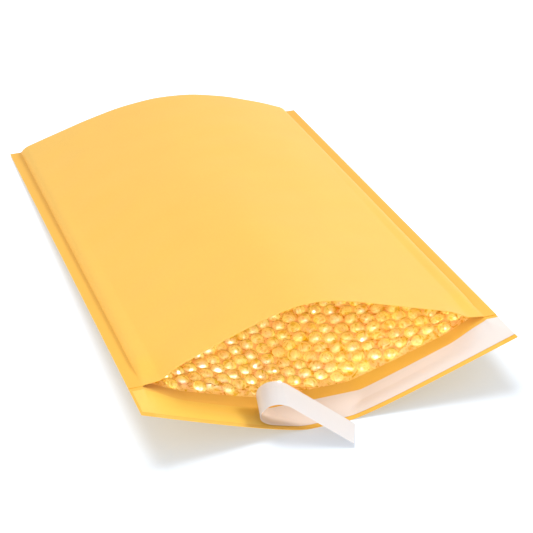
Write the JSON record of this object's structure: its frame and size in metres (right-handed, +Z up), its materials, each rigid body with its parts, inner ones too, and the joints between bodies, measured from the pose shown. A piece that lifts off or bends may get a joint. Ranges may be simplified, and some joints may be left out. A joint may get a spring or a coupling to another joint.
{
  "type": "padded envelope",
  "caption": "Open kraft mailing envelope lined with bubble film, its mouth gaping and the liner half peeled from the adhesive strip on its lip.",
  "frame": {"origin": "on the table, under the middle of the envelope's bounding box", "axes": "+Y along the envelope towards its closed fold, -Y towards its mouth and lip, X across, +Z up"},
  "size_m": [0.248, 0.4426, 0.0733],
  "materials": {
    "kraft_shell": "matt kraft paper",
    "bubble_lining": "clear polyethylene bubble film over kraft, glossy",
    "adhesive_strip": "clear glossy adhesive over kraft",
    "release_liner": "smooth silicone-coated paper"
  },
  "bodies": {
    "root": {"kraft_shell": "kraft_shell", "bubble_lining": "bubble_lining", "adhesive_strip": "adhesive_strip", "release_liner": "release_liner"}
  },
  "joints": []
}
